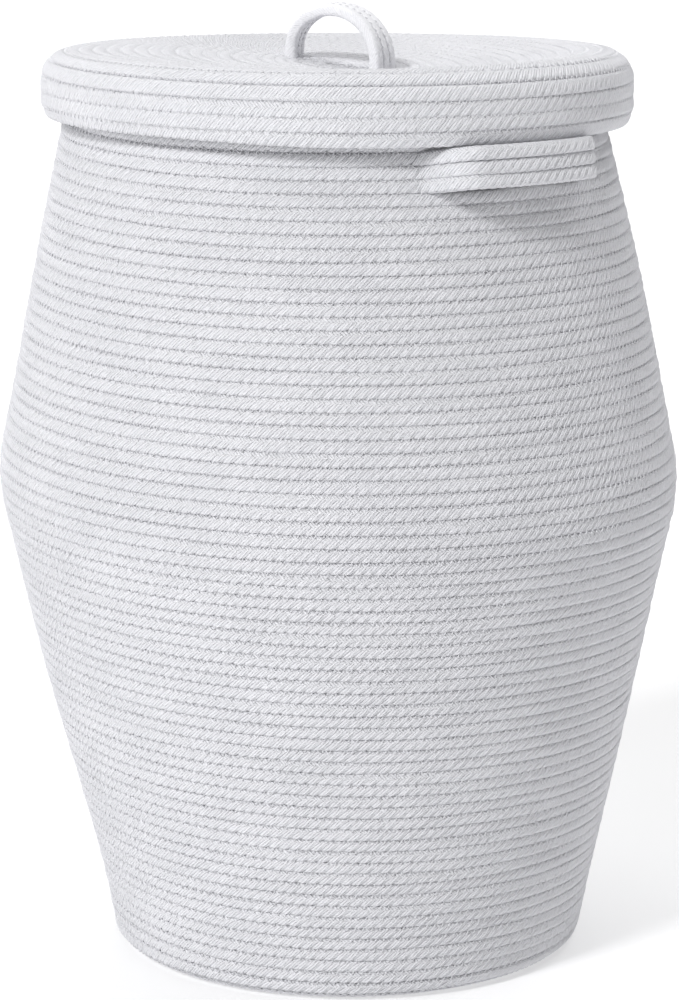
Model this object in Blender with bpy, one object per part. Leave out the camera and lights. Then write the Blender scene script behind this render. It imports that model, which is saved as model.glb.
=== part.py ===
"""Laundry hamper wound from one braided cotton rope, with a lift-off lid wound the same way.

Units are metres. +Z is up, the hamper stands on z = 0 and its axis is the Z axis. The two
carrying handles bow out of the wall on +X and -X. The lid lifts straight up along +Z.
"""
import math

import bmesh
import bpy

MM = 0.001
GAP = 0.3 * MM                      # left between two neighbouring solids

# Rope and rows
ROPE = 8.0 * MM                     # rope diameter, and so the thickness of every wall
HALF = ROPE / 2

# Wall, as the radius of the rope's centre line at a height
FOOT_CORNER_Z = 12.0 * MM           # where the foot's straight side starts
FOOT_CORNER_R = 150.0 * MM
FOOT_TOP_Z = 44.5 * MM              # the foot is steeper than the wall above it
FOOT_TOP_R = 156.2 * MM
BELLY_Z = 310.6 * MM                # where the two cones would meet
BELLY_R = 217.2 * MM
BELLY_ROUND = 130.0 * MM            # radius that rounds the belly off
RIM_Z = 576.5 * MM
RIM_R = 160.5 * MM
LOWER_BULGE = 1.2 * MM              # how far the soft wall bellies out of each cone
UPPER_BULGE = 1.5 * MM

# Base
BASE_R = 140.0 * MM                 # the flat disc, up to where the foot's corner turns up
CORNER_STEPS = 4                    # facets of a rounded edge

# Heights where one stretch of the wall ends and the next begins
WALL_LOWER_TOP = 272.0 * MM
WALL_BELLY_TOP = 346.0 * MM
WINDOW_LOW = 514.6 * MM
WINDOW_HIGH = 540.6 * MM

# Carrying handles, each three rows that leave the wall and come back to it
HANDLE_HALF_ANGLE = math.radians(23.5)
HANDLE_EASE_ANGLE = math.radians(9.5)
HANDLE_LEAD = 1.5 * MM              # each end still follows the wall this far
HANDLE_STANDOFF = 22.0 * MM         # wall's centre line to the handle's, at mid-span
HANDLE_PITCH = 8.4 * MM
HANDLE_MIDDLE_Z = 528.0 * MM
HANDLE_ROWS = ("bottom", "middle", "top")
HANDLE_STEPS = 26

# Lid
LID_R = 184.4 * MM                  # centre line of the skirt
LID_LOW = 541.2 * MM
LID_UNDERSIDE = 577.0 * MM
LID_EDGE_ROUND = 7.0 * MM
LID_DISH = 10.0 * MM                # the soft top sags this far in the middle
LID_DISH_R = 156.0 * MM           # it is held up by the rim outside this radius
DISH_STEPS = 5

# Lid loop, three rope lengths side by side in an upright arch
LOOP_TURN = math.radians(12.5)      # how far the loop is turned from the handles' line
LOOP_HALF_SPAN = 34.5 * MM
LOOP_LEG = 5.0 * MM                 # straight foot below the arch
LOOP_RISE = 28.5 * MM
LOOP_PITCH = 8.4 * MM
LOOP_ROWS = ("front", "middle", "back")
LOOP_STEPS = 16

# Smoothness
AROUND = 72                         # sides of everything turned about the axis
WALL_STEP = 60.0 * MM               # tallest facet of a wall
BELLY_STEP = 12.5 * MM
ROPE_SIDES = 8                      # sides of a single rope

COTTON = (0.86, 0.86, 0.84)
LOOP_COTTON = (0.83, 0.83, 0.82)
COTTON_ROUGHNESS = 0.92


def clear_scene():
    """Empties the scene."""
    for found in list(bpy.data.objects):
        bpy.data.objects.remove(found, do_unlink=True)


def cotton(name, colour):
    """A matt cotton surface of its own for one stretch of rope."""
    made = bpy.data.materials.new(name + "_cotton")
    made.use_nodes = True
    shader = made.node_tree.nodes["Principled BSDF"]
    shader.inputs["Base Color"].default_value = (*colour, 1.0)
    shader.inputs["Roughness"].default_value = COTTON_ROUGHNESS
    shader.inputs["Metallic"].default_value = 0.0
    made.diffuse_color = (*colour, 1.0)
    return made


def add_mesh(name, bm, colour, parent=None):
    """Turns a bmesh into a named, smooth-shaded object."""
    bmesh.ops.recalc_face_normals(bm, faces=bm.faces)
    data = bpy.data.meshes.new(name)
    bm.to_mesh(data)
    bm.free()
    for face in data.polygons:
        face.use_smooth = True
    data.materials.append(cotton(name, colour))
    made = bpy.data.objects.new(name, data)
    bpy.context.collection.objects.link(made)
    made.parent = parent
    return made


def turned(name, outline, colour=COTTON, parent=None, start=0.0, turn=math.tau):
    """Turns a closed outline of (radius, height) points about Z, all round or part of the way.

    Points on the axis become one point, so an outline may start and end there.
    """
    whole = turn > math.tau - 1e-6
    steps = max(2, round(AROUND * turn / math.tau))
    bm = bmesh.new()
    rings = []
    for i in range(steps if whole else steps + 1):
        angle = start + turn * i / steps
        ring = [bm.verts.new((r * math.cos(angle), r * math.sin(angle), z)) for r, z in outline]
        rings.append(ring)
    for i in range(steps):
        one = rings[i]
        two = rings[(i + 1) % len(rings)]
        for j in range(len(outline)):
            k = (j + 1) % len(outline)
            if outline[j][0] > 0 or outline[k][0] > 0:
                bm.faces.new((one[j], one[k], two[k], two[j]))
    if not whole:
        bm.faces.new(rings[0])
        bm.faces.new(rings[-1])
    bmesh.ops.remove_doubles(bm, verts=bm.verts, dist=1e-7)
    return add_mesh(name, bm, colour, parent)


def rope_along(name, route, colour=COTTON, parent=None):
    """One rope of round section along the points of its centre line, closed at both ends."""
    curve = bpy.data.curves.new(name, "CURVE")
    curve.dimensions = "3D"
    curve.bevel_depth = HALF
    curve.bevel_resolution = (ROPE_SIDES - 4) // 2
    curve.use_fill_caps = True
    line = curve.splines.new("POLY")
    line.points.add(len(route) - 1)
    for point, place in zip(line.points, route):
        point.co = (*place, 1.0)
    curve.materials.append(cotton(name, colour))
    made = bpy.data.objects.new(name, curve)
    bpy.context.collection.objects.link(made)
    made.parent = parent
    return made


def straight(z, low, high):
    """The radius at z on the straight line between two (height, radius) points."""
    return low[1] + (high[1] - low[1]) * (z - low[0]) / (high[0] - low[0])


def bulge(z, low, high, most):
    """A soft outward swelling, nothing at both heights and most half way between them."""
    part = min(max((z - low) / (high - low), 0.0), 1.0)
    return most * math.sin(math.pi * part) ** 2


def wall_radius(z):
    """Centre-line radius of the wall: foot, lower cone, rounded belly, upper cone."""
    foot = (FOOT_TOP_Z, FOOT_TOP_R)
    belly = (BELLY_Z, BELLY_R)
    rim = (RIM_Z, RIM_R)
    if z <= FOOT_TOP_Z:
        return straight(z, (FOOT_CORNER_Z, FOOT_CORNER_R), foot)
    lower_lean = math.atan2(BELLY_R - FOOT_TOP_R, BELLY_Z - FOOT_TOP_Z)
    upper_lean = math.atan2(BELLY_R - RIM_R, RIM_Z - BELLY_Z)
    reach = BELLY_ROUND * math.tan((lower_lean + upper_lean) / 2)
    arc_low_z = BELLY_Z - reach * math.cos(lower_lean)
    arc_high_z = BELLY_Z + reach * math.cos(upper_lean)
    if z < arc_low_z:
        return straight(z, foot, belly) + bulge(z, FOOT_TOP_Z, arc_low_z, LOWER_BULGE)
    if z > arc_high_z:
        return straight(z, belly, rim) + bulge(z, arc_high_z, RIM_Z, UPPER_BULGE)
    arc_low_r = straight(arc_low_z, foot, belly)
    centre_r = arc_low_r - BELLY_ROUND * math.cos(lower_lean)
    centre_z = arc_low_z + BELLY_ROUND * math.sin(lower_lean)
    return centre_r + math.sqrt(BELLY_ROUND ** 2 - (z - centre_z) ** 2)


def half_across(z):
    """Half the wall's thickness, measured level through the sloping wall."""
    step = 1.0 * MM
    slope = (wall_radius(z + step) - wall_radius(z - step)) / (2 * step)
    return HALF * math.sqrt(1 + slope * slope)


def heights(low, high, tallest):
    """Even heights from low to high with no step over the tallest."""
    steps = math.ceil((high - low) / tallest)
    return [low + (high - low) * i / steps for i in range(steps + 1)]


def wall_outline(low, high, tallest=WALL_STEP):
    """Closed outline of a stretch of wall: up its outside, then down its inside."""
    levels = heights(low, high, tallest)
    outside = [(wall_radius(z) + half_across(z), z) for z in levels]
    inside = [(wall_radius(z) - half_across(z), z) for z in reversed(levels)]
    return outside + inside


def quarter(centre_r, centre_z, across, down):
    """A quarter of an ellipse from straight below its centre round to straight outward of it."""
    points = []
    for i in range(CORNER_STEPS + 1):
        angle = math.pi / 2 * i / CORNER_STEPS
        points.append((centre_r + across * math.sin(angle), centre_z - down * math.cos(angle)))
    return points


def foot_outline():
    """The base's outer rows turning up, and the foot above them, as one closed outline."""
    start_r = BASE_R + GAP
    half = half_across(FOOT_CORNER_Z)
    across = FOOT_CORNER_R - start_r
    outside = quarter(start_r, FOOT_CORNER_Z, across + half, FOOT_CORNER_Z)
    inside = quarter(start_r, FOOT_CORNER_Z, across - half, FOOT_CORNER_Z - ROPE)
    wall = wall_outline(FOOT_CORNER_Z, FOOT_TOP_Z)
    return outside[:-1] + wall[:-1] + inside[::-1]


def build_basket():
    """Base, wall in its stretches, and the two handles."""
    base = [(0.0, 0.0), (BASE_R, 0.0), (BASE_R, ROPE), (0.0, ROPE)]
    turned("base_spiral", base)
    turned("foot_rows", foot_outline())
    turned("lower_wall_rows", wall_outline(FOOT_TOP_Z + GAP, WALL_LOWER_TOP))
    turned("belly_rows", wall_outline(WALL_LOWER_TOP + GAP, WALL_BELLY_TOP, BELLY_STEP))
    turned("upper_wall_rows", wall_outline(WALL_BELLY_TOP + GAP, WINDOW_LOW - GAP))
    between = wall_outline(WINDOW_LOW, WINDOW_HIGH - GAP)
    span = math.pi - 2 * HANDLE_HALF_ANGLE
    turned("rear_wall_rows_between_handles", between, start=HANDLE_HALF_ANGLE, turn=span)
    turned("front_wall_rows_between_handles", between, start=HANDLE_HALF_ANGLE + math.pi, turn=span)
    turned("rim_rows", wall_outline(WINDOW_HIGH, RIM_Z))
    for side, facing in (("right", 0.0), ("left", math.pi)):
        for row, part in enumerate(HANDLE_ROWS):
            height = HANDLE_MIDDLE_Z + (row - 1) * HANDLE_PITCH
            rope_along(f"{side}_handle_{part}_rope", handle_route(facing, height))


def handle_route(facing, height):
    """A handle rope's centre line: along the wall, out to its stand-off, and back."""
    wall = wall_radius(HANDLE_MIDDLE_Z)
    half = HANDLE_HALF_ANGLE - GAP / wall
    free = half - HANDLE_LEAD / wall
    angles = [-half]
    angles += [free * (2 * i / HANDLE_STEPS - 1) for i in range(HANDLE_STEPS + 1)]
    angles.append(half)
    route = []
    for angle in angles:
        part = min(max((free - abs(angle)) / HANDLE_EASE_ANGLE, 0.0), 1.0)
        eased = part * part * (3 - 2 * part)
        radius = wall + HANDLE_STANDOFF * eased
        place = facing + angle
        route.append((radius * math.cos(place), radius * math.sin(place), height))
    return route


def sag(radius):
    """How far the lid's soft top hangs below its edge at a radius."""
    return LID_DISH * (1 - min(radius / LID_DISH_R, 1.0) ** 2)


def build_lid(lift):
    """Flat spiral top, skirt, and the loop that the lid is lifted by."""
    inner = LID_R - HALF
    outer = LID_R + HALF
    top = LID_UNDERSIDE + ROPE
    dish = [LID_DISH_R * i / DISH_STEPS for i in range(DISH_STEPS + 1)]
    under = [(r, LID_UNDERSIDE - sag(r)) for r in dish] + [(inner - GAP, LID_UNDERSIDE)]
    over = [(r, z + ROPE) for r, z in reversed(under)]
    turned("lid_top_spiral", under + over, parent=lift)
    edge = quarter(outer - LID_EDGE_ROUND, top - LID_EDGE_ROUND, LID_EDGE_ROUND, -LID_EDGE_ROUND)
    turned("lid_skirt_rows", [(inner, LID_LOW), (outer, LID_LOW), *edge[::-1], (inner, top)], parent=lift)
    for row, part in enumerate(LOOP_ROWS):
        across = (row - 1) * LOOP_PITCH
        foot = top - sag(math.hypot(LOOP_HALF_SPAN + HALF, LOOP_PITCH + HALF)) + GAP
        rope_along(f"lid_loop_{part}_rope", loop_route(across, foot), LOOP_COTTON, lift)


def loop_route(across, foot):
    """A loop rope's centre line: up a short foot, over an arch, and down the other foot."""
    along = [(-LOOP_HALF_SPAN, foot)]
    for i in range(LOOP_STEPS + 1):
        angle = math.pi * (1 - i / LOOP_STEPS)
        along.append((LOOP_HALF_SPAN * math.cos(angle), foot + LOOP_LEG + LOOP_RISE * math.sin(angle)))
    along.append((LOOP_HALF_SPAN, foot))
    turn_x = (math.cos(LOOP_TURN), math.sin(LOOP_TURN))
    return [(s * turn_x[0] - across * turn_x[1], s * turn_x[1] + across * turn_x[0], z)
            for s, z in along]


def main():
    clear_scene()
    build_basket()
    lift = bpy.data.objects.new("lid_lift_axis", None)
    bpy.context.collection.objects.link(lift)
    build_lid(lift)


main()
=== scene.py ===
import math

import bpy
import numpy as np
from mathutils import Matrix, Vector


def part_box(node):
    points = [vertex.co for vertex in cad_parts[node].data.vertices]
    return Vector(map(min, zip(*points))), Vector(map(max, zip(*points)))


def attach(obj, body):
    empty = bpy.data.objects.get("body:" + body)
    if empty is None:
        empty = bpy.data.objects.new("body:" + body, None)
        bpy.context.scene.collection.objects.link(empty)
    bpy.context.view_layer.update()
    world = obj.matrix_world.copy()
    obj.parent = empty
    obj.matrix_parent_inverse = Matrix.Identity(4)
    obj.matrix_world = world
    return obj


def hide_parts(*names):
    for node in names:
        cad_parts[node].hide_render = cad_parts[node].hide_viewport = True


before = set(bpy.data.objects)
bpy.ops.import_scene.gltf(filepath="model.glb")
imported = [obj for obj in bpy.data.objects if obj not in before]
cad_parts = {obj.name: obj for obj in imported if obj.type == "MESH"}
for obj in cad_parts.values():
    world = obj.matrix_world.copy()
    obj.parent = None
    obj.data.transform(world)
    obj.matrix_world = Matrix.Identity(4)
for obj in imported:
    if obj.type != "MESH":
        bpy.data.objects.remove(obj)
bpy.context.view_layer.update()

# Laundry hamper wound from one braided cotton rope and sewn turn to turn, with a lift-off lid
# wound the same way. Lengths are in millimetres until a mesh is made, and Z is up.
MM = 0.001

# The camera: where it stands round the hamper, how far and how high, and where it looks.
CAMERA_TURN = 50.5          # degrees from looking along +Y
CAMERA_AWAY = 2425.6
CAMERA_HEIGHT = 818.0
CAMERA_TILT = 12.28         # degrees below level
CAMERA_LENS = 136.9         # on a 36 mm sensor

# The braid: eight carriers over a filled core, each carrier three parallel yarns.
ROPE_HALF = 4.0
STRAND = 6.6                # rope length between two neighbouring strands of one hand
YARNS = 3
STRAND_LIFT = 0.52          # how far a strand rises where it passes over
STRAND_CROWN = 1.10         # how round a strand is across
SQUARENESS = 3.8            # sewn rows press flat against each other
PRESSED = 1.075             # and into each other, by this part of their height
LID_PRESSED = 1.12          # the lid is sewn tighter, so that its top is nearly smooth
LID_SQUARENESS = 4.6

# The wall, as (height, radius of the rope's centre line), within 1.5 mm of the CAD's.
FOOT_CORNER = (12.0, 150.6)
FOOT_TOP = (44.5, 156.9)
BELLY = (310.6, 217.7)
BELLY_ROUND = 98.0
RIM = (576.5, 160.5)
LOWER_BULGE = 1.2
UPPER_BULGE = 1.3
BASE_RADIUS = 140.3
UPPER_PITCH = 8.12          # from row to row along the wall, above the belly
LOWER_PITCH = 7.92
PITCH_CHANGE = (290, 40)    # the lower pitch below this height, and the upper one this much above it
SPIRAL_START = 3.0          # how far from the middle the base's and the lid's spirals begin
PROFILE_STEP = 0.5
HANDLE_TOP_ROW = 533.4      # height of row 0 at the front, the handles' top row
FRONT = math.radians(-39.5)     # the side of the hamper where a row's number is whole
SIDEWAYS = np.array([math.cos(FRONT + math.pi / 2), math.sin(FRONT + math.pi / 2), 0.0])

# The soft basket's stance: how far it sways sideways at a height, and how its rows run.
SWAY_HEIGHTS = [0, 60, 110, 180, 240, 320, 380, 450, 577]
SWAY = [5.2, 4.4, 2.8, 0.3, -0.5, -0.7, -0.6, -1.4, -4.1]
ROW_FALL = 5.64             # each row falls this far in the quarter turn from the front
RISE_HEIGHTS = [10, 60, 130, 200, 300, 420, 577]
RISE = [2.2, 1.9, 0.6, 0.1, 1.6, 3.1, 4.7]      # less this, at a height
PLANTED = (8, 26)           # rows on the floor lie flat: from this height, over this much
LEAN_FROM = (532, 40)       # the rim leans back with the lid, likewise

# Carrying handles: three rows that leave the wall on +X and on -X. Pairs are before and after
# the handle's middle. The rows ease out of the wall at one end and turn sharply at the other.
HANDLE_HALF = math.radians(23.5)
HANDLE_BOW = np.radians([23.2, 19.2])
HANDLE_EASE = np.radians([10.5, 5.5])
HANDLE_STANDOFF = 21.5
HANDLE_TUCK = 1.1           # each row up stands off more by this much, so that the strap hangs upright
HANDLE_RAISE = 4.6          # the strap is pulled up a little
HANDLE_SPREAD = 0.3         # and its rows lie a little apart
HANDLE_REACH = 1.25         # a rope within this many rows of the middle one bows out,
SEAM_REACH = 1.75           # and a seam between this and that is left open

# Lid: heights of its last row and its top, then the roundness of its edge.
LID_RADIUS = 184.4
LID_LAST_ROW = 545.3
LID_FLAT = 581.0
LID_CORNER = 15.0
LID_TUCK = 3.2              # the skirt's last row is drawn in
LID_PITCH = 8.75
LID_RELIEF = 0.85           # its braid is pulled flatter than the basket's
LID_HALF_ROW = -12.5        # half way out on the top
LID_EDGE_ROW = -4.5         # where the top turns into the skirt
LID_END_ROW = 0.47          # where the rope ends
LID_LEAN = 0.027            # it sits a little lower at the back
LID_SETTLE = 1.45           # the soft cap beds down on the rim, more at its front and back
LID_SADDLE = 0.85
LID_SHIFT = -1.4            # it sits a touch to one side
ROLL_REACH = 110.0          # on that side its skirt is rolled under, below this height
ROLL_TOP = 552.0
ROLL_DEPTH = 9.0
ROLL_LIFT = 3.2
ROLL_IN = 0.009             # as a part of the radius
LID_DISH = 9.0              # the soft top sags this far in the middle
LID_SKEW = 1.6              # and more under the loop's nearer foot than under its other foot
LID_DISH_RADIUS = 156.0     # it rests on the rim outside this radius

# Loop: three ropes side by side, sewn together.
LOOP_TURN = math.radians(12.5)
LOOP_HALF_SPAN = 35.3
LOOP_LEG = 5.0
LOOP_RISE = 29.3
LOOP_PITCH = 8.4
LOOP_HALF = 3.7
LOOP_SUNK = 5.0             # the feet go this far into the lid's top
LOOP_TIP = 2.6              # the arch leans this far toward one foot
LOOP_SHIFT = 0.8
STRIP_TURN = (128.5, 18.0)  # which way the strip is wide, in degrees, and its twist from foot to foot
LOOP_CUTS = (0.0, 0.16, 0.36, 0.5, 0.64, 0.84)
LOOP_RELIEF = 0.22

# Zigzag seam between two rows. Depths are from the seam's centre line to the thread.
STITCH = 5.0
STITCH_RADIUS = 0.32
STITCH_SPREAD = 1.5         # how far it reaches into each row
WALL_STITCH_DEPTH = 4.05
LID_STITCH_DEPTH = 3.85
LOOP_STITCH_DEPTH = 3.6
LEG_HALF = 0.62             # half the length along the seam of a rising leg, and of its straight top
LEG_TOP = 0.3
LEG_SIDES = 3

SAMPLES = 480               # steps of a route in each turn
CUTS = (0.0, 0.22, 0.5, 0.78)   # rings in each strand of rope
ROPE_DRIFT = 0.40           # how far the braid is turned, on average
END_LENGTH = 40.0           # a rope's end is thinned over this much
FLOOR_HALF = 40.0           # metres


def linear(code):
    """A colour's sRGB hex code as linear red, green, blue and alpha."""
    parts = [int(code[i:i + 2], 16) / 255 for i in (1, 3, 5)]
    made = [p / 12.92 if p <= 0.04045 else ((p + 0.055) / 1.055) ** 2.4 for p in parts]
    return (*made, 1.0)


def smooth(value):
    """An S curve from 0 to 1."""
    value = np.clip(value, 0.0, 1.0)
    return value * value * (3 - 2 * value)


# ---------------------------------------------------------------- materials

def node(tree, kind, links=None, **settings):
    """Adds a node, sets its properties and plain inputs, and links its other inputs."""
    made = tree.nodes.new(kind)
    for name, value in settings.items():
        setattr(made, name, value)
    for name, value in (links or {}).items():
        socket = made.inputs[name]
        if isinstance(value, bpy.types.NodeSocket):
            tree.links.new(value, socket)
        else:
            socket.default_value = value
    return made


def new_material(name, colour, roughness, sheen=0.0):
    """An empty material with its shader's plain values set."""
    made = bpy.data.materials.new(name)
    made.use_nodes = True
    shader = made.node_tree.nodes["Principled BSDF"]
    shader.inputs["Base Color"].default_value = linear(colour)
    shader.inputs["Roughness"].default_value = roughness
    shader.inputs["Sheen Weight"].default_value = sheen
    shader.inputs["Sheen Roughness"].default_value = 0.45
    shader.inputs["Specular IOR Level"].default_value = 0.25
    made.diffuse_color = linear(colour)
    return made, made.node_tree, shader


def braided_cotton(name, lit, painted_shade, yarn_depth, fibre_depth):
    """Bleached cotton braid: matt, with soft yarns along each strand, fibre fuzz, faint mottling and painted
    shade between the yarns.

    The map called braid counts strands along the rope and quarter turns round it, so rising strands
    lie on U - V and falling ones on U + V.
    """
    made, tree, shader = new_material(name, lit, 0.9, sheen=0.12)
    where = node(tree, "ShaderNodeUVMap", uv_map="braid")
    parts = node(tree, "ShaderNodeSeparateXYZ", {"Vector": where.outputs["UV"]})
    along, around = parts.outputs["X"], parts.outputs["Y"]

    rising = node(tree, "ShaderNodeMath", {0: along, 1: around}, operation="SUBTRACT").outputs[0]
    falling = node(tree, "ShaderNodeMath", {0: along, 1: around}, operation="ADD").outputs[0]
    # Which hand is on top changes every half turn round the rope.
    half_turns = node(tree, "ShaderNodeMath", {0: around, 1: math.pi, 2: -0.25 * math.pi},
                      operation="MULTIPLY_ADD")
    hand = node(tree, "ShaderNodeMath", {0: half_turns.outputs[0]}, operation="COSINE")
    on_top = node(tree, "ShaderNodeMath", {0: hand.outputs[0], 1: 4.0, 2: 0.5}, operation="MULTIPLY_ADD",
                  use_clamp=True)
    yarns = []
    for strand in (falling, rising):
        turned = node(tree, "ShaderNodeMath", {0: strand, 1: YARNS * math.pi}, operation="MULTIPLY")
        wave = node(tree, "ShaderNodeMath", {0: turned.outputs[0]}, operation="SINE")
        yarns.append(node(tree, "ShaderNodeMath", {0: wave.outputs[0]}, operation="ABSOLUTE").outputs[0])
    ridge = node(tree, "ShaderNodeMix", {0: on_top.outputs[0], 2: yarns[0], 3: yarns[1]}).outputs[0]
    place = node(tree, "ShaderNodeTexCoord").outputs["Object"]
    # Cotton fibres are 0.02 mm. They are drawn 0.7 mm across, so that they show.
    fibres = node(tree, "ShaderNodeTexNoise", {
        "Vector": place, "Scale": 1400.0, "Detail": 3.0, "Roughness": 0.65})
    lumps = node(tree, "ShaderNodeTexNoise", {"Vector": place, "Scale": 420.0, "Detail": 2.0})
    mottle = node(tree, "ShaderNodeTexNoise", {"Vector": place, "Scale": 22.0, "Detail": 3.0})
    yarn_bump = node(tree, "ShaderNodeBump", {
        "Strength": 1.0, "Distance": yarn_depth * MM, "Height": ridge})
    lump_bump = node(tree, "ShaderNodeBump", {
        "Strength": 1.0, "Distance": 0.8 * MM, "Height": lumps.outputs["Fac"],
        "Normal": yarn_bump.outputs["Normal"]})
    fibre_bump = node(tree, "ShaderNodeBump", {
        "Strength": 1.0, "Distance": fibre_depth * MM, "Height": fibres.outputs["Fac"],
        "Normal": lump_bump.outputs["Normal"]})
    tree.links.new(fibre_bump.outputs["Normal"], shader.inputs["Normal"])
    # Painted shade: between two yarns, and where fibres part, the colour is greyed toward the painted shade
    # colour, as if less light reached there. The lumps and the slow mottle add grey tone that varies at
    # random.
    shade = -0.5
    for height, share in ((ridge, 0.4), (lumps.outputs["Fac"], 0.6), (fibres.outputs["Fac"], 0.9),
                          (mottle.outputs["Fac"], 0.6)):
        shade = node(tree, "ShaderNodeMath", {0: height, 1: share, 2: shade},
                     operation="MULTIPLY_ADD").outputs[0]
    tint = node(tree, "ShaderNodeMix", {0: shade, 6: linear(painted_shade), 7: linear(lit)}, data_type="RGBA")
    tree.links.new(tint.outputs[2], shader.inputs["Base Color"])
    return made


def sewing_thread(name, lit, painted_shade):
    """Bleached polyester-cotton sewing thread: a little smoother and whiter than the rope."""
    made, tree, shader = new_material(name, lit, 0.6, sheen=0.05)
    place = node(tree, "ShaderNodeTexCoord").outputs["Object"]
    # Its two plies turn every 0.8 mm. They are drawn 1.2 mm apart, so that they show.
    plies = node(tree, "ShaderNodeTexNoise", {"Vector": place, "Scale": 830.0, "Detail": 1.0})
    bump = node(tree, "ShaderNodeBump", {"Distance": 0.08 * MM, "Height": plies.outputs["Fac"]})
    tree.links.new(bump.outputs["Normal"], shader.inputs["Normal"])
    # Painted shade: the colour greys toward the painted shade colour where the plies dip.
    tint = node(tree, "ShaderNodeMix", {0: plies.outputs["Fac"], 6: linear(painted_shade), 7: linear(lit)},
                data_type="RGBA")
    tree.links.new(tint.outputs[2], shader.inputs["Base Color"])
    return made


def studio_paper(name):
    """Matt white background, lit a little from behind so that shadows on it stay pale, and nearly even."""
    made, tree, shader = new_material(name, "#CCCCCD", 1.0)
    shader.inputs["Specular IOR Level"].default_value = 0.0
    shader.inputs["Emission Color"].default_value = linear("#FFFFFF")
    shader.inputs["Emission Strength"].default_value = 0.44
    place = node(tree, "ShaderNodeTexCoord").outputs["Object"]
    cloud = node(tree, "ShaderNodeTexNoise", {"Vector": place, "Scale": 9.0, "Detail": 2.0})
    tint = node(tree, "ShaderNodeMix", {0: cloud.outputs["Fac"], 6: linear("#CACACB"), 7: linear("#CECECF")},
                data_type="RGBA")
    tree.links.new(tint.outputs[2], shader.inputs["Base Color"])
    return made


# ---------------------------------------------------------------- the shape of the hamper

def straight(z, low, high):
    """The radius at z on the straight line between two (height, radius) points."""
    return low[1] + (high[1] - low[1]) * (z - low[0]) / (high[0] - low[0])


def bulge(z, low, high, most):
    """A soft outward swelling, nothing at both heights and most half way between them."""
    return most * np.sin(math.pi * np.clip((z - low) / (high - low), 0.0, 1.0)) ** 2


def wall_radius(z):
    """Centre-line radius of the wall at heights z: foot, lower cone, rounded belly, upper cone."""
    lower_lean = math.atan2(BELLY[1] - FOOT_TOP[1], BELLY[0] - FOOT_TOP[0])
    upper_lean = math.atan2(BELLY[1] - RIM[1], RIM[0] - BELLY[0])
    reach = BELLY_ROUND * math.tan((lower_lean + upper_lean) / 2)
    arc_low = BELLY[0] - reach * math.cos(lower_lean)
    arc_high = BELLY[0] + reach * math.cos(upper_lean)
    centre_r = straight(arc_low, FOOT_TOP, BELLY) - BELLY_ROUND * math.cos(lower_lean)
    centre_z = arc_low + BELLY_ROUND * math.sin(lower_lean)
    lower = straight(z, FOOT_TOP, BELLY) + bulge(z, FOOT_TOP[0], arc_low, LOWER_BULGE)
    upper = straight(z, BELLY, RIM) + bulge(z, arc_high, RIM[0], UPPER_BULGE)
    round_part = centre_r + np.sqrt(np.maximum(BELLY_ROUND ** 2 - (z - centre_z) ** 2, 0.0))
    foot = straight(z, FOOT_CORNER, FOOT_TOP)
    cone = np.where(z < arc_low, lower, np.where(z > arc_high, upper, round_part))
    return np.where(z <= FOOT_TOP[0], foot, cone)


def number_rows(radius, height, pitch, anchor):
    """Row numbers along a profile, counted downward, with row 0 where the profile is at the anchor."""
    step = np.hypot(np.diff(radius), np.diff(height)) / (0.5 * (pitch[1:] + pitch[:-1]))
    rows = np.concatenate([[0.0], np.cumsum(step)])
    return rows - rows[anchor]


def wall_profile():
    """Row number, radius and height from the rim down the wall, round the foot and in over the base."""
    z = np.arange(RIM[0] - ROPE_HALF, FOOT_CORNER[0], -PROFILE_STEP)
    r = wall_radius(z)
    turn = np.linspace(math.pi / 2, 0, 40)
    corner_r = BASE_RADIUS + (FOOT_CORNER[1] - BASE_RADIUS) * np.sin(turn)
    corner_z = FOOT_CORNER[0] - (FOOT_CORNER[0] - ROPE_HALF) * np.cos(turn)
    flat = np.arange(BASE_RADIUS - PROFILE_STEP, SPIRAL_START, -PROFILE_STEP)
    radius = np.concatenate([r, corner_r, flat])
    height = np.concatenate([z, corner_z, np.full(len(flat), ROPE_HALF)])
    pitch = LOWER_PITCH + (UPPER_PITCH - LOWER_PITCH) * smooth(
        (height - PITCH_CHANGE[0]) / PITCH_CHANGE[1])
    anchor = int(np.argmin(np.abs(height - HANDLE_TOP_ROW)))
    return number_rows(radius, height, pitch, anchor), radius, height


def lid_sag(radius):
    """How far the lid's soft top hangs below its edge at a radius."""
    return LID_DISH * (1 - np.minimum(radius / LID_DISH_RADIUS, 1.0) ** 2)


def lid_profile():
    """Row number, radius and height from the middle of the lid outward and down its skirt."""
    inner = LID_RADIUS - LID_CORNER
    turn = np.linspace(0, math.pi / 2, 40)
    flat = np.arange(SPIRAL_START, inner, PROFILE_STEP)
    drop = np.arange(LID_FLAT - LID_CORNER - PROFILE_STEP, LID_LAST_ROW - 12, -PROFILE_STEP)
    skirt = LID_RADIUS - LID_TUCK * smooth((LID_LAST_ROW + 6 - drop) / 13)
    radius = np.concatenate([flat, inner + LID_CORNER * np.sin(turn), skirt])
    height = np.concatenate([
        LID_FLAT - lid_sag(flat),
        LID_FLAT - LID_CORNER + LID_CORNER * np.cos(turn), drop])
    pitch = np.full(len(radius), LID_PITCH)
    anchor = int(np.argmin(np.abs(height - LID_LAST_ROW) + (height > LID_FLAT - LID_CORNER) * 99))
    return number_rows(radius, height, pitch, anchor), radius, height


def triangle_wave(angle):
    """Rises evenly from -1 at a quarter turn behind to 1 at a quarter turn ahead, with soft peaks."""
    return 0.81 * np.sin(angle) - 0.09 * np.sin(3 * angle)


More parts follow.
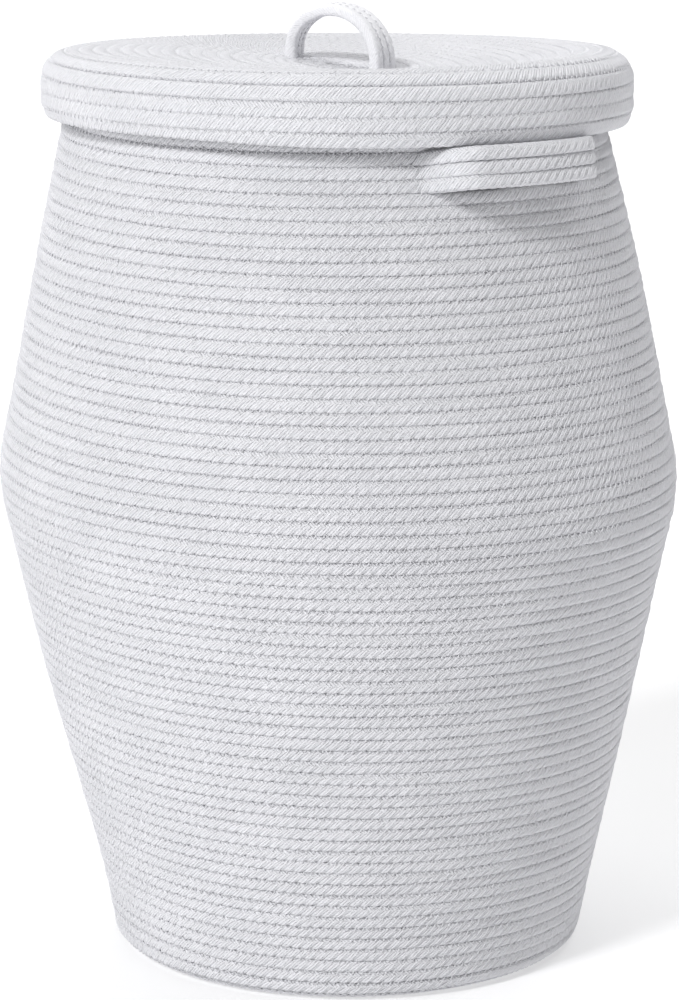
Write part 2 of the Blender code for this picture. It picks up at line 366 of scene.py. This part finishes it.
def slump(points, angle):
    """How the soft basket stands: it sways sideways, its rows sag to one side, its rim leans back."""
    z = points[..., 2]
    view = angle - FRONT
    sway = np.interp(z, SWAY_HEIGHTS, SWAY)
    planted = smooth((z - PLANTED[0]) / PLANTED[1])
    rise = np.interp(z, RISE_HEIGHTS, RISE)
    lean = LID_LEAN * smooth((z - LEAN_FROM[0]) / LEAN_FROM[1])
    toward = np.cos(view) * np.hypot(points[..., 0], points[..., 1])
    moved = points + sway[..., None] * SIDEWAYS
    moved[..., 2] += planted * (rise * np.sin(view) - ROW_FALL * triangle_wave(view))
    moved[..., 2] += lean * toward
    return moved


def shift_lid(points, angle):
    """How the soft lid lies: a touch to one side, lower at the back, its skirt rolled under.

    It has the same arguments as slump, and has no use for the angle.
    """
    moved = points + LID_SHIFT * SIDEWAYS
    toward = points[..., 0] * math.cos(FRONT) + points[..., 1] * math.sin(FRONT)
    across = points[..., 1] * math.cos(FRONT) - points[..., 0] * math.sin(FRONT)
    saddle = (toward ** 2 - across ** 2) / LID_RADIUS ** 2
    rolled = smooth(-across / ROLL_REACH) * smooth((ROLL_TOP - points[..., 2]) / ROLL_DEPTH)
    moved[..., 2] += ROLL_LIFT * rolled
    moved[..., :2] *= 1 - ROLL_IN * rolled[..., None]
    on_loop = points[..., 0] * math.cos(LOOP_TURN) + points[..., 1] * math.sin(LOOP_TURN)
    skew = LID_SKEW * lid_sag(np.hypot(points[..., 0], points[..., 1])) * on_loop / LID_DISH_RADIUS
    moved[..., 2] += LID_LEAN * toward - LID_SETTLE - LID_SADDLE * saddle - skew
    return moved


def handle_bow(row, angle):
    """How far out and how far up the handle rows stand from the wall, at a row number and angle."""
    out = np.zeros_like(row)
    up = np.zeros_like(row)
    for facing, middle_row, rise in ((0.0, 1.0, HANDLE_RAISE), (math.pi, 0.0, HANDLE_RAISE / 2)):
        off = (angle - facing + math.pi) % math.tau - math.pi
        number = row - (off + facing - FRONT) / math.tau - middle_row
        ease = smooth((HANDLE_BOW[0] + off) / HANDLE_EASE[0])
        ease = ease * smooth((HANDLE_BOW[1] - off) / HANDLE_EASE[1])
        ease = np.where(np.abs(number) < HANDLE_REACH, ease, 0.0)
        out += (HANDLE_STANDOFF - HANDLE_TUCK * number) * ease
        up += (rise - HANDLE_SPREAD * number) * ease
    return out, up


def in_profile(profile, row):
    """Radius, height, and the unit step to the next row, at each row number of a profile."""
    rows, radius, height = profile
    r, z = np.interp(row, rows, radius), np.interp(row, rows, height)
    dr = np.interp(row + 0.12, rows, radius) - np.interp(row - 0.12, rows, radius)
    dz = np.interp(row + 0.12, rows, height) - np.interp(row - 0.12, rows, height)
    size = np.maximum(np.hypot(dr, dz), 1e-9)
    return r, z, dr / size, dz / size


def wobble(along, seed, reach, spans=(61, 97, 173, 290, 463)):
    """A hand-sewn unevenness: a few slow waves along the rope that never line up from row to row."""
    phases = np.random.RandomState(seed).uniform(0, math.tau, len(spans))
    waves = [np.sin(math.tau * along / span + phase) for span, phase in zip(spans, phases)]
    return reach * sum(waves) / len(spans) ** 0.5


def frame_route(points, up, half_out, half_up, seed, drift_mean):
    """A rope's route: its centre line with a face direction, its half sizes, and how its braid lies."""
    gap = np.linalg.norm(np.diff(points, axis=0), axis=1)
    along = np.concatenate([[0.0], np.cumsum(gap)])
    tangent = np.gradient(points, axis=0)
    tangent /= np.maximum(np.linalg.norm(tangent, axis=1, keepdims=True), 1e-9)
    up = up - (up * tangent).sum(1, keepdims=True) * tangent
    up /= np.maximum(np.linalg.norm(up, axis=1, keepdims=True), 1e-9)
    out = np.cross(tangent, up)
    stretch = 1 + wobble(along, seed + 1, 0.05)
    strands = np.concatenate([[0.0], np.cumsum(np.diff(along) / STRAND * stretch[1:])])
    drift = drift_mean + wobble(along, seed + 2, 0.16, (133, 311, 743, 1310, 2370))
    return {
        "along": along, "strands": strands, "drift": drift, "centre": points, "up": up, "out": out,
        "tangent": tangent, "half_out": half_out + 0 * along, "half_up": half_up + 0 * along}


def read_route(route, name, along):
    """A route's value, a number or a direction, at distances along it."""
    values = route[name]
    if values.ndim == 1:
        return np.interp(along, route["along"], values)
    return np.stack([np.interp(along, route["along"], values[:, i]) for i in range(3)], axis=-1)


def wound_route(profile, row, lag, seed, shift, bowed=False, uneven=1.0, pressed=PRESSED):
    """The route of a rope wound down a profile, or with a lag of half a row the seam between two rows.

    Shift is how the soft thing moves from its round, level shape.
    """
    angle = math.tau * (row - lag) + FRONT
    r, z, dr, dz = in_profile(profile, row)
    if bowed:
        out, up = handle_bow(row, angle)
        r, z = r + out, z + up
    spot = np.arange(len(row)) * math.tau * 150 / SAMPLES      # about how far along the rope
    r = r - dz * wobble(spot, seed + 5, 0.22 * uneven)
    spoke = np.stack([np.cos(angle), np.sin(angle), 0 * angle], axis=-1)
    points = r[:, None] * spoke
    points[:, 2] = z
    up = -dr[:, None] * spoke
    up[:, 2] = -dz
    points = shift(points, angle)
    step = 0.5 * np.hypot(
        np.interp(row + 0.5, *profile[:2]) - np.interp(row - 0.5, *profile[:2]),
        np.interp(row + 0.5, profile[0], profile[2]) - np.interp(row - 0.5, profile[0], profile[2]))
    half_up = pressed * np.clip(step, 3.6, 4.6)
    return frame_route(points, up, ROPE_HALF, half_up, seed, ROPE_DRIFT)


# ---------------------------------------------------------------- rope and thread meshes

# Angles round a rope's section. They are close together on the side that is seen.
FACE = [-86, -66, -48, -32, -16, 0, 16, 32, 48, 66, 86]
WALL_SECTION = np.radians([*FACE, 118, 152, 208, 242])
ROUND_SECTION = np.radians([*FACE, 104, 122, 140, 160, 180, 200, 220, 238, 256])


def strand_profile(place):
    """Across a strand, from 0 in the hollow beside it to 1 on its crown."""
    across = 2 * (place - np.floor(place)) - 1
    return np.sqrt(np.maximum(1 - across * across, 0.0))


def braid_relief(strands, quarters):
    """How far the braid's surface stands out, for strands along the rope and quarter turns round it."""
    over = np.cos(math.pi * (quarters - 0.25))
    rising = STRAND_LIFT * over + STRAND_CROWN * strand_profile(strands - quarters)
    falling = -STRAND_LIFT * over + STRAND_CROWN * strand_profile(strands + quarters)
    return np.maximum(rising, falling) - STRAND_LIFT * 0.5 - STRAND_CROWN * 0.85


def lay_rope(route, section, cuts, relief=1.0, squareness=SQUARENESS):
    """Rings of points for a rope along its route. Its rings lean along the rising strands."""
    last = route["strands"][-1]
    whole = np.arange(math.ceil(last) + 1)
    count = (whole[:, None] + np.array(cuts)[None, :]).ravel()
    count = np.append(count[count < last], last)
    quarters = section / (math.pi / 2)
    # Round the back the rings lean the other way, so that they close.
    signed = np.where(quarters > 2, quarters - 4, quarters)
    back_lean = np.sign(signed) * (2 - np.abs(signed)) * 0.92
    lean = np.where(np.abs(quarters) < 0.97, quarters, back_lean)
    drift = np.interp(count, route["strands"], route["drift"])
    middle = np.interp(count + drift, route["strands"], route["along"])
    strands = count[:, None] + lean[None, :] + drift[:, None]
    strands = np.clip(strands, route["strands"][0], last)
    along = np.interp(strands, route["strands"], route["along"])
    turned = quarters[None, :] + np.interp(strands, route["strands"], route["drift"])
    lift = relief * braid_relief(strands, turned)
    cosine, sine = np.cos(section), np.sin(section)
    reach = (np.abs(cosine) ** squareness + np.abs(sine) ** squareness) ** (-1 / squareness)
    out = read_route(route, "half_out", along) * (reach * cosine) + lift * cosine
    up = read_route(route, "half_up", along) * (reach * sine) + lift * sine
    points = read_route(route, "centre", along)
    points = points + out[..., None] * read_route(route, "out", along)
    points = points + up[..., None] * read_route(route, "up", along)
    u = np.concatenate([strands, strands[:, :1]], axis=1)
    v = np.concatenate([turned, turned[:, :1] + 4], axis=1)
    return {"points": points, "u": u, "v": v, "at": middle}


def make_mesh(name, points, faces, material, uv=None, ends=()):
    """An object from points in millimetres and faces of equal size, with flat end faces if given."""
    data = bpy.data.meshes.new(name)
    corners = np.concatenate([faces.ravel(), *[np.asarray(e).ravel() for e in ends]]).astype(np.int32)
    sizes = np.concatenate([np.full(len(faces), faces.shape[1]), [len(e) for e in ends]]).astype(int)
    data.vertices.add(len(points))
    data.vertices.foreach_set("co", (points * MM).astype(np.float32).ravel())
    data.loops.add(len(corners))
    data.loops.foreach_set("vertex_index", corners)
    data.polygons.add(len(sizes))
    data.polygons.foreach_set("loop_start", (np.cumsum(sizes) - sizes).astype(np.int32))
    soft = np.ones(len(sizes), bool)
    soft[len(faces):] = False
    data.polygons.foreach_set("use_smooth", soft)
    if uv is not None:
        layer = data.uv_layers.new(name="braid")
        flat = np.zeros((len(corners), 2), np.float32)
        flat[:len(uv)] = uv
        layer.data.foreach_set("uv", flat.ravel())
    data.update(calc_edges=True)
    data.materials.append(material)
    made = bpy.data.objects.new(name, data)
    bpy.context.scene.collection.objects.link(made)
    return made


def rope_piece(name, rope, spans, material, skip=1):
    """Stretches of a laid rope as closed tubes, each from one distance along it to another."""
    points, faces, corners, ends = [], [], [], []
    count = 0
    for start, stop in spans:
        low, high = np.searchsorted(rope["at"], (start, stop))
        high = min(high, len(rope["at"]) - 1)
        picked = list(range(low, high, skip)) + [high]
        ring_points = rope["points"][picked]
        rings, sides = ring_points.shape[:2]
        index = np.arange(rings * sides).reshape(rings, sides) + count
        count += rings * sides
        one, two = index[:-1], index[1:]
        quads = np.stack([one, two, np.roll(two, -1, 1), np.roll(one, -1, 1)], axis=-1)
        grid = np.stack([rope["u"][picked], rope["v"][picked]], axis=-1)
        corner = np.stack([grid[:-1, :-1], grid[1:, :-1], grid[1:, 1:], grid[:-1, 1:]], axis=2)
        points.append(ring_points.reshape(-1, 3))
        faces.append(quads.reshape(-1, 4))
        corners.append(corner.reshape(-1, 2))
        ends += [index[0], index[-1][::-1]]
    return make_mesh(name, np.concatenate(points), np.concatenate(faces), material,
                     np.concatenate(corners), ends)


def thread_legs(route, along, path, jitter):
    """Short lengths of thread, one at each distance along a seam, each bent along the same path.

    The path's points are (along the seam, across it, out of it). Jitter varies each leg a little.
    """
    centre = read_route(route, "centre", along)
    tangent, up, out = (read_route(route, name, along) for name in ("tangent", "up", "out"))
    path = np.array(path, float)
    local = path[None] * (1 + jitter[:, None, :])
    places = (centre[:, None] + local[..., :1] * tangent[:, None] + local[..., 1:2] * up[:, None]
              + local[..., 2:3] * out[:, None])
    way = places[:, -1] - places[:, 0]
    way /= np.linalg.norm(way, axis=1, keepdims=True)
    side = np.cross(out, way)
    side /= np.linalg.norm(side, axis=1, keepdims=True)
    turn = math.tau * np.arange(LEG_SIDES) / LEG_SIDES + math.pi / 2
    ring = (np.cos(turn)[None, None, :, None] * side[:, None, None]
            + np.sin(turn)[None, None, :, None] * np.cross(way, side)[:, None, None])
    points = places[:, :, None] + STITCH_RADIUS * ring
    legs, stops = points.shape[:2]
    index = np.arange(legs * stops * LEG_SIDES).reshape(legs, stops, LEG_SIDES)
    one, two = index[:, :-1], index[:, 1:]
    faces = np.stack([one, np.roll(one, -1, 2), np.roll(two, -1, 2), two], axis=-1)
    caps = np.concatenate([index[:, 0, ::-1], index[:, -1]])
    return points.reshape(-1, 3), faces.reshape(-1, 4), caps


def seam_piece(name, route, spans, depth, seed, keep=None, face=1):
    """The zigzag of thread along a seam: rising legs on top, falling legs sunk between the rows.

    Keep says which distances along the seam have a stitch. Face is -1 on the seam's other side.
    """
    along = np.concatenate([
        np.arange(low + STITCH / 2, high - STITCH / 2, STITCH) for low, high in spans])
    if keep is not None:
        along = along[keep(along)]
    dice = np.random.RandomState(seed)
    jitter = dice.uniform(-0.12, 0.12, (len(along), 3)) * np.array([1.0, 1.0, 0.15])
    along = along + dice.uniform(-0.35, 0.35, len(along))
    top, sunk, low_leg = face * depth, face * (depth - 0.55), face * (depth - 0.75)
    low_spread = STITCH_SPREAD * 0.9
    rising = [(-LEG_HALF, -STITCH_SPREAD, sunk), (-LEG_TOP, -LEG_HALF, top),
              (LEG_TOP, LEG_HALF, top), (LEG_HALF, STITCH_SPREAD, sunk)]
    falling = [(LEG_HALF, low_spread, low_leg), (STITCH - LEG_HALF, -low_spread, low_leg)]
    over, over_faces, over_caps = thread_legs(route, along, rising, jitter)
    under, under_faces, under_caps = thread_legs(route, along[:-1], falling, 0 * jitter[:-1])
    shift = len(over)
    points = np.concatenate([over, under])
    faces = np.concatenate([over_faces, under_faces + shift])
    caps = np.concatenate([over_caps, under_caps + shift])
    return make_mesh(name, points, faces, thread, ends=list(caps))


# ---------------------------------------------------------------- the basket

def thin_end(route, length, first):
    """Draws a rope's end down and tucks it against the row that it is sewn to."""
    along = route["along"]
    left = along if first else along[-1] - along
    part = 0.5 + 0.5 * smooth(left / length)
    tuck = (1 - part) * ROPE_HALF * (-1 if first else 1)
    route["centre"] = route["centre"] + tuck[:, None] * route["up"]
    route["half_out"] = route["half_out"] * part
    route["half_up"] = route["half_up"] * part


def row_at(profile, height):
    """The row number where the wall is at a height."""
    on_wall = profile[1] > BASE_RADIUS
    return float(np.interp(-height, -profile[2][on_wall], profile[0][on_wall]))


def finish_piece(piece, body, nodes=()):
    """Says which body a piece moves with and which CAD nodes it stands for."""
    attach(piece, body)
    if nodes:
        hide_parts(*nodes)


cotton = braided_cotton("bleached_cotton_braid", "#EDEDF1", "#D1D2D7", 0.45, 0.65)
handle_cotton = braided_cotton("bleached_cotton_handle_braid", "#EDEDF1", "#D4D5DA", 0.42, 0.6)
lid_cotton = braided_cotton("bleached_cotton_lid_braid", "#EDEDF1", "#D4D5DA", 0.42, 0.6)
# The loop's cotton is the same rope painted lighter, with paler painted shade, to stand in for the brighter
# light that falls on the loop.
loop_cotton = braided_cotton("bleached_cotton_loop_braid", "#F3F3F6", "#E2E2E6", 0.15, 0.2)
thread = sewing_thread("white_sewing_thread", "#F1F1F4", "#DDDDE1")

profile = wall_profile()
RIM_ROW = profile[0][0]
BASE_ROW = profile[0][-1]
rows = np.arange(RIM_ROW, BASE_ROW, 1 / SAMPLES)
wall = wound_route(profile, rows, 0.0, 11, slump, bowed=True)
wall["row"] = rows
thin_end(wall, END_LENGTH, True)
seam_rows = np.arange(RIM_ROW + 0.55, row_at(profile, FOOT_CORNER[0]) + 1.5, 1 / SAMPLES)
wall_seam = wound_route(profile, seam_rows, 0.5, 11, slump, bowed=True)
wall_seam["row"] = seam_rows
basket = lay_rope(wall, WALL_SECTION, CUTS)


def spans_of(route, *rows_from_to):
    """Distances along a route for pairs of row numbers."""
    return [tuple(np.interp(pair, route["row"], route["along"])) for pair in rows_from_to]


def sewn(along):
    """Leaves out the stitches above and below a handle, where its rows stand clear of the wall."""
    row = np.interp(along, wall_seam["along"], wall_seam["row"])
    angle = math.tau * (row - 0.5) + FRONT
    open_slot = np.zeros(len(row), bool)
    for facing, middle_row in ((0.0, 1.0), (math.pi, 0.0)):
        off = (angle - facing + math.pi) % math.tau - math.pi
        number = np.abs(row - (off + facing - FRONT) / math.tau - middle_row)
        beside = (off > 0.02 - HANDLE_BOW[0]) & (off < HANDLE_BOW[1] - 0.02)
        open_slot |= beside & (number > HANDLE_REACH) & (number < SEAM_REACH)
    return ~open_slot


handle_turn = HANDLE_HALF / math.tau
right_middle = -FRONT / math.tau
left_middle = right_middle + 0.5
right_start, right_stop = right_middle - handle_turn, right_middle + handle_turn
left_start, left_stop = left_middle - handle_turn, left_middle + handle_turn

belly_top = round(row_at(profile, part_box("belly_rows")[1].z / MM)) + 0.5
belly_low = round(row_at(profile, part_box("belly_rows")[0].z / MM)) + 0.5
foot_top = round(row_at(profile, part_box("foot_rows")[1].z / MM)) + 0.5
base_start = float(profile[0][np.argmax(profile[1] <= BASE_RADIUS)])


def split(name, cad_node, start, stop, parts):
    """Evenly divides a stretch of rows into numbered bands."""
    inner = [round(start + (stop - start) * i / parts) + 0.5 for i in range(1, parts)]
    edges = [start, *inner, stop]
    return [(f"{name}_{i + 1}", cad_node, [(edges[i], edges[i + 1])], 1) for i in range(parts)]


# Each band: its name, its CAD node, its rows, and 2 where every other ring of points will do.
bands = [
    ("rim_braid", "rim_rows", [(RIM_ROW, left_start - 1)], 1),
    ("front_braid_between_handles", "front_wall_rows_between_handles",
     [(k + left_stop - 1, k + right_start) for k in range(3)], 1),
    ("rear_braid_between_handles", "rear_wall_rows_between_handles",
     [(k + right_stop, k + left_start) for k in range(3)], 1)]
bands += split("upper_wall_braid", "upper_wall_rows", left_start + 2, belly_top, 3)
bands += split("belly_braid", "belly_rows", belly_top, belly_low, 2)
bands += split("lower_wall_braid", "lower_wall_rows", belly_low, foot_top, 5)
bands.append(("foot_braid", "foot_rows", [(foot_top, base_start)], 1))
bands.append(("base_braid", "base_spiral", [(base_start, BASE_ROW)], 2))
for name, cad_node, spans, skip in bands:
    piece = rope_piece(name, basket, spans_of(wall, *spans), cotton, skip)
    finish_piece(piece, "basket", [cad_node])
    if name != "base_braid":
        seams = [(max(start, seam_rows[0]), stop) for start, stop in spans]
        stitches = seam_piece(name.replace("braid", "stitches"), wall_seam, spans_of(wall_seam, *seams),
                              WALL_STITCH_DEPTH, seed=31 + len(name), keep=sewn)
        finish_piece(stitches, "basket")

for side, start, stop, first in (
        ("right", right_start, right_stop, 0), ("left", left_start, left_stop, -1)):
    for k, part in enumerate(("top", "middle", "bottom"), first):
        name = f"{side}_handle_{part}_braid"
        piece = rope_piece(name, basket, spans_of(wall, (k + start, k + stop)), handle_cotton)
        finish_piece(piece, "basket", [f"{side}_handle_{part}_rope"])

# ---------------------------------------------------------------- the lid

lid_rows_profile = lid_profile()
lid_rows = np.arange(lid_rows_profile[0][0], LID_END_ROW, 1 / SAMPLES)
lid_route = wound_route(lid_rows_profile, lid_rows, 0.0, 57, shift_lid, uneven=0.8, pressed=LID_PRESSED)
lid_route["row"] = lid_rows
thin_end(lid_route, END_LENGTH, False)
lid_rope = lay_rope(lid_route, WALL_SECTION, CUTS, relief=LID_RELIEF, squareness=LID_SQUARENESS)
lid_seam_rows = np.arange(lid_rows[0] + 1.0, LID_END_ROW - 0.5, 1 / SAMPLES)
lid_seam = wound_route(lid_rows_profile, lid_seam_rows, 0.5, 57, shift_lid, uneven=0.8,
                       pressed=LID_PRESSED)
lid_seam["row"] = lid_seam_rows
for name, cad_node, start, stop in (
        ("lid_top_inner", "lid_top_spiral", lid_rows[0], LID_HALF_ROW),
        ("lid_top_outer", "lid_top_spiral", LID_HALF_ROW, LID_EDGE_ROW),
        ("lid_skirt", "lid_skirt_rows", LID_EDGE_ROW, lid_rows[-1])):
    piece = rope_piece(f"{name}_braid", lid_rope, spans_of(lid_route, (start, stop)), lid_cotton)
    finish_piece(piece, "lid", [cad_node])
    seams = (max(start, lid_seam_rows[0]), min(stop, lid_seam_rows[-1]))
    stitches = seam_piece(f"{name}_stitches", lid_seam, spans_of(lid_seam, seams), LID_STITCH_DEPTH,
                          seed=73 + len(name))
    finish_piece(stitches, "lid")

# The rope's start is folded back under itself, which closes the middle of the spiral.
start_angle = math.tau * lid_rows[0] + FRONT
fold_way = np.array([-math.sin(start_angle), math.cos(start_angle), 0.0])
FOLD_DROP = 0.9
fold_middle = [0.0, 0.0, LID_FLAT - lid_sag(0.0) - FOLD_DROP]
fold_points = np.linspace(-7.5, 5.0, 40)[:, None] * fold_way + fold_middle
fold_side = np.tile(np.cross([0.0, 0.0, 1.0], fold_way), (len(fold_points), 1))
fold_route = frame_route(shift_lid(fold_points, None), fold_side, ROPE_HALF, ROPE_HALF, 61, ROPE_DRIFT)
fold_rope = lay_rope(fold_route, ROUND_SECTION, CUTS, relief=LID_RELIEF)
fold = rope_piece("lid_middle_fold_braid", fold_rope, [(0.0, fold_route["along"][-1])], lid_cotton)
finish_piece(fold, "lid")


def loop_route(across, seed):
    """The route of one loop rope, or of a seam between two, at a distance across the strip."""
    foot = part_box("lid_top_spiral")[1].z / MM - lid_sag(LOOP_HALF_SPAN)
    leg = np.linspace(-LOOP_SUNK, LOOP_LEG, 12)
    arch = np.linspace(math.pi, 0, 90)
    bow = LOOP_HALF_SPAN * np.cos(arch) + LOOP_TIP * np.sin(arch) ** 2
    along = np.concatenate([
        np.full(len(leg), -LOOP_HALF_SPAN), bow[1:-1], np.full(len(leg), LOOP_HALF_SPAN)]) + LOOP_SHIFT
    height = np.concatenate([leg, (LOOP_LEG + LOOP_RISE * np.sin(arch))[1:-1], leg[::-1]])
    part = np.linspace(0, 1, len(along))
    strip_turn = np.radians(STRIP_TURN[0] - STRIP_TURN[1] * part)
    strip = np.stack([np.cos(strip_turn), np.sin(strip_turn), 0 * part], axis=-1)
    spoke = np.array([math.cos(LOOP_TURN), math.sin(LOOP_TURN), 0.0])
    points = along[:, None] * spoke + across * strip
    points[:, 2] = foot + height
    points = shift_lid(points, None)
    return frame_route(points, strip, LOOP_HALF, LOOP_PITCH / 2, seed, 0.15)


for k, part in enumerate(("front", "middle", "back")):
    route = loop_route((k - 1) * LOOP_PITCH, 91 + k)
    rope = lay_rope(route, ROUND_SECTION, LOOP_CUTS, relief=LOOP_RELIEF)
    piece = rope_piece(f"lid_loop_{part}_braid", rope, [(0.0, route["along"][-1])], loop_cotton)
    finish_piece(piece, "lid", [f"lid_loop_{part}_rope"])
for k, part in enumerate(("front", "back")):
    route = loop_route((k - 0.5) * LOOP_PITCH, 95 + k)
    reach = [(4.0, route["along"][-1] - 4.0)]
    for face, word in ((1, "outer"), (-1, "inner")):
        stitches = seam_piece(f"lid_loop_{part}_{word}_stitches", route, reach, LOOP_STITCH_DEPTH,
                              seed=97 + k, face=face)
        finish_piece(stitches, "lid")

# ---------------------------------------------------------------- studio

floor_data = bpy.data.meshes.new("studio_floor")
floor_data.from_pydata(
    [(-FLOOR_HALF, -FLOOR_HALF, 0), (FLOOR_HALF, -FLOOR_HALF, 0), (FLOOR_HALF, FLOOR_HALF, 0),
     (-FLOOR_HALF, FLOOR_HALF, 0)], [], [(0, 1, 2, 3)])
floor_data.materials.append(studio_paper("white_background_paper"))
floor = bpy.data.objects.new("studio_floor", floor_data)
bpy.context.scene.collection.objects.link(floor)
floor.location.z = -0.0005

scene = bpy.context.scene
scene.view_settings.view_transform = "Standard"
world = bpy.data.worlds.new("studio")
scene.world = world
world.use_nodes = True
sky = world.node_tree
sky.nodes["Background"].inputs["Color"].default_value = linear("#FFFFFF")
# It is bright at the horizon all round, as with white walls, and dimmer overhead.
way = node(sky, "ShaderNodeTexCoord").outputs["Generated"]
height = node(sky, "ShaderNodeSeparateXYZ", {"Vector": way}).outputs["Z"]
above = node(sky, "ShaderNodeMath", {0: height, 1: 0.0}, operation="MAXIMUM").outputs[0]
fall = node(sky, "ShaderNodeMath", {0: above, 1: -8.0}, operation="MULTIPLY").outputs[0]
fade = node(sky, "ShaderNodeMath", {0: fall}, operation="EXPONENT").outputs[0]
glow = node(sky, "ShaderNodeMath", {0: fade, 1: 0.84, 2: 0.16}, operation="MULTIPLY_ADD").outputs[0]
sky.links.new(glow, sky.nodes["Background"].inputs["Strength"])

turn = math.radians(CAMERA_TURN)
toward = np.array([math.sin(turn), -math.cos(turn), 0.0])
rightward = np.array([math.cos(turn), math.sin(turn), 0.0])


def soft_sun(name, side, front, height, strength, spread):
    """A far soft light, from a direction given to the camera's right, toward it, and up."""
    data = bpy.data.lights.new(name, "SUN")
    data.energy = strength
    data.angle = math.radians(spread)
    made = bpy.data.objects.new(name, data)
    bpy.context.scene.collection.objects.link(made)
    way = side * rightward + front * toward + np.array([0, 0, height])
    made.location = way
    made.rotation_mode = "QUATERNION"
    made.rotation_quaternion = Vector(way).to_track_quat("Z", "Y")


soft_sun("side", -0.94, 0.34, 0.18, 0.50, 30.0)
soft_sun("key", -0.60, 0.80, 0.88, 1.92, 12.0)
soft_sun("top", 0.1, -0.3, 1.0, 1.76, 60.0)
soft_sun("fill", 0.9, -0.1, 0.5, 0.16, 60.0)

lens = bpy.data.cameras.new("camera")
lens.lens = CAMERA_LENS
lens.sensor_width = 36.0
lens.clip_end = 200.0
camera = bpy.data.objects.new("camera", lens)
scene.collection.objects.link(camera)
camera.location = (*(toward[:2] * CAMERA_AWAY * MM), CAMERA_HEIGHT * MM)
camera.rotation_euler = (math.radians(90 - CAMERA_TILT), 0.0, turn)
scene.camera = camera
